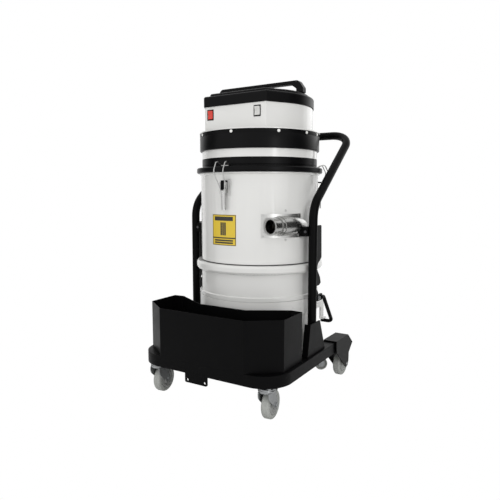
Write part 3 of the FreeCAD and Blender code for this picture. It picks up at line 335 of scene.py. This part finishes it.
def fastener_tree():
    """Heads with a washer and a recess on the input points, turned along 'facing'."""
    tree = bpy.data.node_groups.new("fasteners", "GeometryNodeTree")
    ask = tree.interface
    ask.new_socket("Geometry", in_out="INPUT", socket_type="NodeSocketGeometry")
    for title, start in (("Head radius", 0.005), ("Head height", 0.003),
                         ("Washer radius", 0.007), ("Washer height", 0.0008)):
        ask.new_socket(title, in_out="INPUT", socket_type="NodeSocketFloat").default_value = start
    ask.new_socket("Sides", in_out="INPUT", socket_type="NodeSocketInt").default_value = 24
    ask.new_socket("Finish", in_out="INPUT", socket_type="NodeSocketMaterial")
    ask.new_socket("Geometry", in_out="OUTPUT", socket_type="NodeSocketGeometry")
    given = add_node(tree, "NodeGroupInput")
    result = add_node(tree, "NodeGroupOutput")
    link = tree.links.new

    def cylinder(sides, radius, height):
        item = add_node(tree, "GeometryNodeMeshCylinder", fill_type="NGON")
        if isinstance(sides, int):
            item.inputs["Vertices"].default_value = sides
        else:
            link(sides, item.inputs["Vertices"])
        link(radius, item.inputs["Radius"])
        link(height, item.inputs["Depth"])
        return item.outputs["Mesh"]

    def lifted(mesh, height):
        half = add_node(tree, "ShaderNodeMath", operation="MULTIPLY")
        half.inputs[1].default_value = 0.5
        link(height, half.inputs[0])
        spot = add_node(tree, "ShaderNodeCombineXYZ")
        link(half.outputs[0], spot.inputs["Z"])
        move = add_node(tree, "GeometryNodeTransform")
        link(mesh, move.inputs["Geometry"])
        link(spot.outputs[0], move.inputs["Translation"])
        return move.outputs["Geometry"]

    washer = lifted(cylinder(32, given.outputs["Washer radius"], given.outputs["Washer height"]),
                    given.outputs["Washer height"])
    head = cylinder(given.outputs["Sides"], given.outputs["Head radius"],
                    given.outputs["Head height"])
    facing_up = add_node(tree, "GeometryNodeInputNormal")
    parts = add_node(tree, "ShaderNodeSeparateXYZ")
    link(facing_up.outputs[0], parts.inputs[0])
    top = add_node(tree, "ShaderNodeMath", operation="GREATER_THAN")
    top.inputs[1].default_value = 0.9
    link(parts.outputs["Z"], top.inputs[0])
    inset = add_node(tree, "GeometryNodeExtrudeMesh", mode="FACES")
    inset.inputs["Offset Scale"].default_value = 0.0
    link(head, inset.inputs["Mesh"])
    link(top.outputs[0], inset.inputs["Selection"])
    shrink = add_node(tree, "GeometryNodeScaleElements", domain="FACE")
    shrink.inputs["Scale"].default_value = 0.55
    link(inset.outputs["Mesh"], shrink.inputs["Geometry"])
    link(inset.outputs["Top"], shrink.inputs["Selection"])
    sink = add_node(tree, "GeometryNodeExtrudeMesh", mode="FACES")
    deep = add_node(tree, "ShaderNodeMath", operation="MULTIPLY")
    deep.inputs[1].default_value = -0.5
    link(given.outputs["Head height"], deep.inputs[0])
    link(deep.outputs[0], sink.inputs["Offset Scale"])
    link(shrink.outputs["Geometry"], sink.inputs["Mesh"])
    link(inset.outputs["Top"], sink.inputs["Selection"])
    head = lifted(sink.outputs["Mesh"], given.outputs["Head height"])

    both = add_node(tree, "GeometryNodeJoinGeometry")
    link(washer, both.inputs[0])
    link(head, both.inputs[0])
    facing = add_node(tree, "GeometryNodeInputNamedAttribute", data_type="FLOAT_VECTOR")
    facing.inputs["Name"].default_value = "facing"
    turn = add_node(tree, "FunctionNodeAlignRotationToVector", axis="Z")
    link(facing.outputs["Attribute"], turn.inputs["Vector"])
    put = add_node(tree, "GeometryNodeInstanceOnPoints")
    link(given.outputs["Geometry"], put.inputs["Points"])
    link(both.outputs[0], put.inputs["Instance"])
    link(turn.outputs[0], put.inputs["Rotation"])
    real = add_node(tree, "GeometryNodeRealizeInstances")
    link(put.outputs[0], real.inputs[0])
    paint = add_node(tree, "GeometryNodeSetMaterial")
    link(real.outputs[0], paint.inputs["Geometry"])
    link(given.outputs["Finish"], paint.inputs["Material"])
    link(paint.outputs[0], result.inputs[0])
    return tree


FASTENERS = fastener_tree()
print("fastener tree with", len(FASTENERS.nodes), "nodes")

# %% [markdown]
# ## From tree to plain mesh
# The same steps turn any tree's result into a piece of the machine: make the points, give the
# modifier its inputs by their identifiers, read the evaluated mesh and throw the modifier away.

# %% Tree runner
def socket_name(tree, title):
    return [item.identifier for item in tree.interface.items_tree
            if item.item_type == "SOCKET" and item.in_out == "INPUT" and item.name == title][0]


def grown(tree, name, body, source, inputs):
    """Runs a node tree on a source object and keeps the result as a plain mesh."""
    scene.collection.objects.link(source)
    modifier = source.modifiers.new("tree", "NODES")
    modifier.node_group = tree
    for title, value in inputs.items():
        modifier[socket_name(tree, title)] = value
    bpy.context.view_layer.update()
    evaluated = source.evaluated_get(bpy.context.evaluated_depsgraph_get())
    mesh = bpy.data.meshes.new_from_object(evaluated)
    source.modifiers.clear()
    bpy.data.objects.remove(source)
    mesh.name = name
    mesh.polygons.foreach_set("use_smooth", [True] * len(mesh.polygons))
    mesh.set_sharp_from_angle(angle=math.radians(35))
    piece = bpy.data.objects.new(name, mesh)
    scene.collection.objects.link(piece)
    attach(piece, body)
    return piece


def points_object(spots):
    """A mesh of loose points with a direction stored on each of them."""
    mesh = bpy.data.meshes.new("points")
    mesh.from_pydata([spot for spot, facing in spots], [], [])
    facings = mesh.attributes.new("facing", "FLOAT_VECTOR", "POINT")
    for number, (spot, facing) in enumerate(spots):
        facings.data[number].vector = facing
    return bpy.data.objects.new("points", mesh)


def fasteners(name, body, slot, spots, radius, height, washer, sides=24, finish=None):
    return grown(FASTENERS, name, body, points_object(spots), {
        "Head radius": radius, "Head height": height, "Washer radius": washer,
        "Washer height": 0.0008, "Sides": sides, "Finish": finish or FINISHES[slot]})


print("runner ready")

# %% [markdown]
# ## Where the fasteners sit
# The tank is round, so a small function turns an angle and a height into a point on it. The
# angle counts from the front towards the hose side. The inlet plate has screws at its corners
# and midway, the caster plates hexagon bolts clear of the ball race, and each lift lever a nut.

# %% Fasteners on the tank and the frame
TANK_Y = 0.0435
TANK_R = 0.230


def round_tank(angle, height, radius=TANK_R):
    """A point on a cylinder about the tank's axis, and the outward direction there."""
    turn = math.radians(angle)
    out = Vector((math.sin(turn), -math.cos(turn), 0))
    return Vector((0, TANK_Y, height)) + out * radius, out


PLATE_R = TANK_R + 0.0015
plate_spots = [round_tank(angle, height, PLATE_R)
               for angle in (33.6, 68.8) for height in (0.600, 0.673)]
plate_spots += [round_tank(54.5, height) for height in (0.690, 0.586)]
fasteners("inlet_plate_screws", "chassis", "stainless", plate_spots, 0.0034, 0.0016, 0.0046)

joints = {joint["name"]: joint for joint in frame["joints"]}
SIDES = ((1, "right"), (-1, "left"))
BOLT_X, BOLT_Y = (0.183, 0.250), (-0.320, -0.268)
RACE_ROOM = 0.038
plate_low, plate_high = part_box("caster_mounts")
caster_spots = []
for side, word in SIDES:
    swivel = Vector(joints["front_swivel_" + word]["pos_m"])
    for x in BOLT_X:
        for y in BOLT_Y:
            spot = Vector((x * side, y, plate_low.z))
            if (spot.xy - swivel.xy).length > RACE_ROOM:
                caster_spots.append((spot, Vector((0, 0, -1))))
fasteners("caster_plate_bolts", "chassis", "zinc", caster_spots, 0.0065, 0.004, 0.008, sides=6)

LEVER_NUT = (0.2773, TANK_Y - 0.035, 0.366)
for side, word in SIDES:
    spots = [(Vector((LEVER_NUT[0] * side, *LEVER_NUT[1:])), Vector((side, 0, 0)))]
    fasteners("lever_nut_" + word, "lift_lever_" + word, "zinc", spots, 0.0065, 0.005, 0.0085,
              sides=6)
print(len(plate_spots) + len(caster_spots) + 2, "fasteners")

# %% [markdown]
# ## Curved film for the label
# The label is a film on the tank, so its printed areas are thin curved panels a fraction of a
# millimetre above it. Building them as geometry keeps their edges crisp at any distance. The
# print is a plain sign: a border, a bar and three blocks, with two lines of filler below.

# %% Label print
def curved_panel(work, low_angle, high_angle, low, high, radius, thick, steps=12):
    """Adds a thin closed shell on the tank between two angles and two heights."""
    rings = []
    for step in range(steps + 1):
        angle = low_angle + (high_angle - low_angle) * step / steps
        inner_point, out = round_tank(angle, 0, radius)
        outer_point = inner_point + out * thick
        rings.append([work.verts.new(Vector((p.x, p.y, z))) for p, z in (
            (inner_point, low), (outer_point, low), (outer_point, high), (inner_point, high))])
    for before, after in zip(rings, rings[1:]):
        for k in range(4):
            work.faces.new((before[k], after[k], after[(k + 1) % 4], before[(k + 1) % 4]))
    work.faces.new(reversed(rings[0]))
    work.faces.new(rings[-1])


def finished_piece(work, name, body, material, smooth=35):
    """Turns built geometry into a piece that rides on a body."""
    bmesh.ops.recalc_face_normals(work, faces=work.faces)
    mesh = bpy.data.meshes.new(name)
    work.to_mesh(mesh)
    work.free()
    mesh.materials.append(material)
    mesh.polygons.foreach_set("use_smooth", [True] * len(mesh.polygons))
    mesh.set_sharp_from_angle(angle=math.radians(smooth))
    piece = bpy.data.objects.new(name, mesh)
    scene.collection.objects.link(piece)
    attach(piece, body)
    return piece


LABEL_R = TANK_R + 0.0006
INK_THICK = 0.00025
LABEL_LEFT, LABEL_RIGHT = -17.8, 8.9
LABEL_LOW, LABEL_SPLIT, LABEL_TOP = 0.5635, 0.5905, 0.6745
ink = bmesh.new()
line = 0.0022
line_angle = 0.55
for low, high in ((LABEL_LOW, LABEL_LOW + line), (LABEL_SPLIT - line, LABEL_SPLIT + line),
                  (LABEL_TOP - line, LABEL_TOP)):
    curved_panel(ink, LABEL_LEFT, LABEL_RIGHT, low, high, LABEL_R, INK_THICK)
for low_angle in (LABEL_LEFT, LABEL_RIGHT - line_angle):
    curved_panel(ink, low_angle, low_angle + line_angle, LABEL_LOW + line, LABEL_SPLIT - line,
                 LABEL_R, INK_THICK)
    curved_panel(ink, low_angle, low_angle + line_angle, LABEL_SPLIT + line, LABEL_TOP - line,
                 LABEL_R, INK_THICK)
curved_panel(ink, -15.0, 6.0, 0.6530, 0.6680, LABEL_R, INK_THICK)
for low_angle in (-7.6, -5.4, -3.2):
    curved_panel(ink, low_angle, low_angle + 1.7, 0.6000, 0.6470, LABEL_R, INK_THICK)
for low in (0.5700, 0.5785):
    curved_panel(ink, -15.0, 6.0, low, low + 0.0056, LABEL_R, INK_THICK)
finished_piece(ink, "label_print", "chassis", DARK_INK)
print("label printed")

# %% [markdown]
# ## Weld beads
# The legs, foot brackets and plates are welded on before coating. A weld is a row of overlapping
# drops along a seam, so a tree puts flattened balls on a resampled path. The fixed seed lets
# every drop differ a little in size, as a welder's hand does.

# %% Weld tree
def weld_tree():
    """Overlapping drops of slightly different size along the input edges."""
    tree = bpy.data.node_groups.new("weld", "GeometryNodeTree")
    ask = tree.interface
    ask.new_socket("Geometry", in_out="INPUT", socket_type="NodeSocketGeometry")
    ask.new_socket("Drop radius", in_out="INPUT",
                   socket_type="NodeSocketFloat").default_value = 0.0026
    ask.new_socket("Drop spacing", in_out="INPUT",
                   socket_type="NodeSocketFloat").default_value = 0.0022
    ask.new_socket("Seed", in_out="INPUT", socket_type="NodeSocketInt").default_value = 4
    ask.new_socket("Finish", in_out="INPUT", socket_type="NodeSocketMaterial")
    ask.new_socket("Geometry", in_out="OUTPUT", socket_type="NodeSocketGeometry")
    given = add_node(tree, "NodeGroupInput")
    result = add_node(tree, "NodeGroupOutput")
    link = tree.links.new
    path = add_node(tree, "GeometryNodeMeshToCurve")
    link(given.outputs["Geometry"], path.inputs[0])
    even = add_node(tree, "GeometryNodeCurveToPoints", mode="LENGTH")
    link(path.outputs[0], even.inputs[0])
    link(given.outputs["Drop spacing"], even.inputs["Length"])
    drop = add_node(tree, "GeometryNodeMeshIcoSphere")
    drop.inputs["Subdivisions"].default_value = 2
    link(given.outputs["Drop radius"], drop.inputs["Radius"])
    vary = add_node(tree, "FunctionNodeRandomValue", data_type="FLOAT")
    vary.inputs[2].default_value = 0.85
    vary.inputs[3].default_value = 1.15
    link(given.outputs["Seed"], vary.inputs["Seed"])
    put = add_node(tree, "GeometryNodeInstanceOnPoints")
    link(even.outputs["Points"], put.inputs["Points"])
    link(drop.outputs["Mesh"], put.inputs["Instance"])
    link(vary.outputs[1], put.inputs["Scale"])
    real = add_node(tree, "GeometryNodeRealizeInstances")
    link(put.outputs[0], real.inputs[0])
    paint = add_node(tree, "GeometryNodeSetMaterial")
    link(real.outputs[0], paint.inputs["Geometry"])
    link(given.outputs["Finish"], paint.inputs["Material"])
    link(paint.outputs[0], result.inputs[0])
    return tree


WELDS = weld_tree()


def path_object(paths):
    """A mesh of chained edges, one chain for each path."""
    verts, edges = [], []
    for path in paths:
        start = len(verts)
        verts += path
        edges += [(start + k, start + k + 1) for k in range(len(path) - 1)]
    mesh = bpy.data.meshes.new("paths")
    mesh.from_pydata(verts, edges, [])
    return bpy.data.objects.new("paths", mesh)


LEG_X, LEG_Y, LEG_R = 0.266, -0.069 + TANK_Y, 0.016
RAIL_TOP = 0.167
SEAM_OUT, SEAM_HEIGHTS = 0.004, ((0.42, 0.45), (0.56, 0.60))
weld_paths = []
for side in (1, -1):
    ring = [Vector((side * LEG_X + LEG_R * math.cos(a), LEG_Y + LEG_R * math.sin(a), RAIL_TOP))
            for a in [math.radians(10 * k) for k in range(37)]]
    weld_paths.append(ring)
    for seam in SEAM_HEIGHTS:
        weld_paths.append([Vector((side * (LEG_X + SEAM_OUT), LEG_Y + LEG_R, z))
                           for z in seam])
grown(WELDS, "weld_beads", "chassis", path_object(weld_paths),
      {"Drop radius": 0.0026, "Drop spacing": 0.0022, "Seed": 4, "Finish": WELD})
print(len(weld_paths), "welds")

# %% [markdown]
# ## Wheels
# The wheels carry grey tyres with a stepped plastic disc on both sides. A turned shape is
# quickest by spinning its profile around the axle, so one function makes the cover disc of a
# wheel wherever its axle is.

# %% Hub covers
def turned_piece(name, body, material, centre, axis, profile, steps=48):
    """Spins a profile of (along, radius) pairs about an axle through the centre."""
    work = bmesh.new()
    spun(work, centre, axis, profile, steps)
    return finished_piece(work, name, body, material)


def spun(work, centre, axis, profile, steps=48):
    """Adds the ring that the closed profile sweeps about the axis."""
    along = Vector(axis).normalized()
    aside = Vector((1, 0, 0)) if abs(along.z) > 0.9 else Vector((0, 0, 1))
    across = along.cross(aside).normalized()
    up = along.cross(across)
    rings = []
    for step in range(steps):
        turn = 2 * math.pi * step / steps
        out = across * math.cos(turn) + up * math.sin(turn)
        rings.append([work.verts.new(Vector(centre) + along * a + out * r) for a, r in profile])
    count = len(profile)
    for step in range(steps):
        before, after = rings[step], rings[(step + 1) % steps]
        for k in range(count):
            work.faces.new((before[k], before[(k + 1) % count], after[(k + 1) % count], after[k]))


def hub_covers(name, body, centre, axis, half, rim, bore):
    """Two stepped discs that close the wheel's recess on both sides."""
    for word, way in (("a", 1), ("b", -1)):
        face = way * (half - 0.0035)
        back = way * (half - 0.0045)
        lip = way * (half - 0.0015)
        profile = [(back, bore), (face, bore), (face, rim * 0.72), (lip, rim * 0.78),
                   (lip, rim * 0.96), (back, rim)]
        turned_piece(name + "_" + word, body, HUB, centre, axis, profile)


WHEEL_HALF, HUB_RIM, HUB_BORE = 0.015, 0.0335, 0.0115
for side in ("right", "left"):
    for word in ("front", "rear"):
        joint = joints[word + "_roll_" + side]
        hub_covers(word + "_hub_" + side, word + "_wheel_" + side, joint["pos_m"],
                   joint["axis"], WHEEL_HALF, HUB_RIM, HUB_BORE)
print("hub covers on four wheels")

# %% [markdown]
# ## Caster forks
# A pressed fork hangs from a ball race and has two cheeks that taper down to the axle. The cheek's
# outline is a band around two circles, a large one at the crown and a small one at the axle,
# because a press rounds every corner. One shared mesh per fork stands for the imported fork.

# %% Front forks
CROWN_Z = 0.107
FORK_IN, FORK_OUT = 0.018, 0.021
CHEEK_R, BOSS_R = 0.027, 0.0125
NUT_R, NUT_OUT = 0.0085, 0.004
RACE_PROFILE = [(0, 0.002), (0, 0.026), (0.002, 0.029), (0.006, 0.029), (0.0075, 0.0275),
                (0.0115, 0.0275), (0.0135, 0.024), (0.0135, 0.002)]


def band_outline(start, end, steps=16):
    """The tight outline around two circles that are given as (along, height, radius)."""
    (x1, z1, r1), (x2, z2, r2) = start, end
    lean = math.atan2(z2 - z1, x2 - x1)
    spread = math.acos((r1 - r2) / math.hypot(x2 - x1, z2 - z1))
    big = [lean + spread + (2 * math.pi - 2 * spread) * k / steps for k in range(steps + 1)]
    small = [lean - spread + 2 * spread * k / steps for k in range(steps + 1)]
    return ([(x1 + r1 * math.cos(a), z1 + r1 * math.sin(a)) for a in big]
            + [(x2 + r2 * math.cos(a), z2 + r2 * math.sin(a)) for a in small])


def prism(work, near, far):
    """Adds a solid between two matching outlines."""
    near = [work.verts.new(point) for point in near]
    far = [work.verts.new(point) for point in far]
    for k in range(len(near)):
        after = (k + 1) % len(near)
        work.faces.new((near[k], near[after], far[after], far[k]))
    work.faces.new(reversed(near))
    work.faces.new(far)


for side in ("right", "left"):
    axle = Vector(joints["front_roll_" + side]["pos_m"])
    across = Vector(joints["front_roll_" + side]["axis"]).normalized()
    pivot = Vector(joints["front_swivel_" + side]["pos_m"])
    pivot.z = axle.z
    trail = (pivot - axle).length
    ahead = (pivot - axle).normalized()
    outline = band_outline((trail - 0.002, CROWN_Z - 0.010, CHEEK_R), (0, axle.z, BOSS_R))
    outline = [(along, min(height, CROWN_Z)) for along, height in outline]
    work = bmesh.new()
    for way in (1, -1):
        flat = [Vector((axle.x, axle.y, height)) + ahead * along for along, height in outline]
        prism(work, [p + across * way * FORK_IN for p in flat],
              [p + across * way * FORK_OUT for p in flat])
        spun(work, axle, across * way, [
            (FORK_OUT - 0.001, 0.001), (FORK_OUT + NUT_OUT, 0.001),
            (FORK_OUT + NUT_OUT, NUT_R), (FORK_OUT - 0.001, NUT_R)], 6)
    bow = []
    for step in range(48):
        turn = math.radians(7.5 * step)
        reach = max(-FORK_OUT, min(FORK_OUT, CHEEK_R * math.sin(turn)))
        bow.append(pivot + ahead * CHEEK_R * math.cos(turn) + across * reach)
    prism(work, [Vector((p.x, p.y, CROWN_Z - 0.003)) for p in bow],
          [Vector((p.x, p.y, CROWN_Z)) for p in bow])
    spun(work, (pivot.x, pivot.y, CROWN_Z - 0.001), (0, 0, 1), RACE_PROFILE)
    fork = finished_piece(work, "look_front_fork_" + side, "front_fork_" + side,
                          FINISHES["zinc"])
    bevel = fork.modifiers.new("rounding", "BEVEL")
    bevel.width, bevel.segments, bevel.limit_method = 0.0006, 2, "ANGLE"
    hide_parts("front_fork_" + side)
print("two pressed forks")

# %% [markdown]
# ## Small hanging and screwed-on things
# A sprung clip hangs beside the front latch and locks it, and a hexagon gland with ribs takes
# the mains lead at the back of the motor cover. A bent wire is a curve with a round bevel that is
# turned into a mesh at once.

# %% Safety clip and gland
def bent_wire(name, body, material, points, radius, cyclic=False):
    """A round wire through the points, kept as a mesh."""
    data = bpy.data.curves.new(name, "CURVE")
    data.dimensions = "3D"
    data.bevel_depth = radius
    data.bevel_resolution = 4
    data.use_fill_caps = True
    spline = data.splines.new("BEZIER")
    spline.bezier_points.add(len(points) - 1)
    for knot, place in zip(spline.bezier_points, points):
        knot.co = place
        knot.handle_left_type = knot.handle_right_type = "AUTO"
    spline.use_cyclic_u = cyclic
    spline.resolution_u = 10
    curve = bpy.data.objects.new(name + "_curve", data)
    scene.collection.objects.link(curve)
    bpy.context.view_layer.update()
    mesh = bpy.data.meshes.new_from_object(
        curve.evaluated_get(bpy.context.evaluated_depsgraph_get()))
    bpy.data.objects.remove(curve)
    mesh.materials.clear()
    mesh.materials.append(material)
    mesh.polygons.foreach_set("use_smooth", [True] * len(mesh.polygons))
    piece = bpy.data.objects.new(name, mesh)
    scene.collection.objects.link(piece)
    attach(piece, body)
    return piece


CLIP_R = 0.236
clip_points = []
for angle, height in ((2.2, 0.796), (3.3, 0.801), (4.4, 0.796), (4.1, 0.782), (3.2, 0.768),
                      (2.9, 0.757), (3.5, 0.748), (4.3, 0.744)):
    clip_points.append(round_tank(angle, height, CLIP_R)[0])
bent_wire("safety_clip", "chassis", FINISHES["stainless"], clip_points, 0.0012)
clip_leg = [round_tank(2.2, 0.796, CLIP_R)[0], round_tank(2.3, 0.770, CLIP_R)[0],
            round_tank(2.35, 0.742, CLIP_R)[0]]
bent_wire("safety_clip_leg", "chassis", FINISHES["stainless"], clip_leg, 0.0012)

gland_low, gland_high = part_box("cable_gland")
gland_mid = (gland_low + gland_high) / 2
gland_profile = [(-0.004, 0.0105), (0.006, 0.0105), (0.006, 0.0075), (0.008, 0.007),
                 (0.008, 0.005), (-0.004, 0.005)]
turned_piece("gland_nut", "chassis", FINISHES["black_plastic"],
             (gland_mid.x, gland_high.y - 0.009, gland_mid.z), (0, 1, 0), gland_profile, 12)
print("clip and gland made")

# %% [markdown]
# ## Last update
# The dressed machine is meant to stay inside the box of the imported parts; this cell only brings the view layer
# up to date.

bpy.context.view_layer.update()
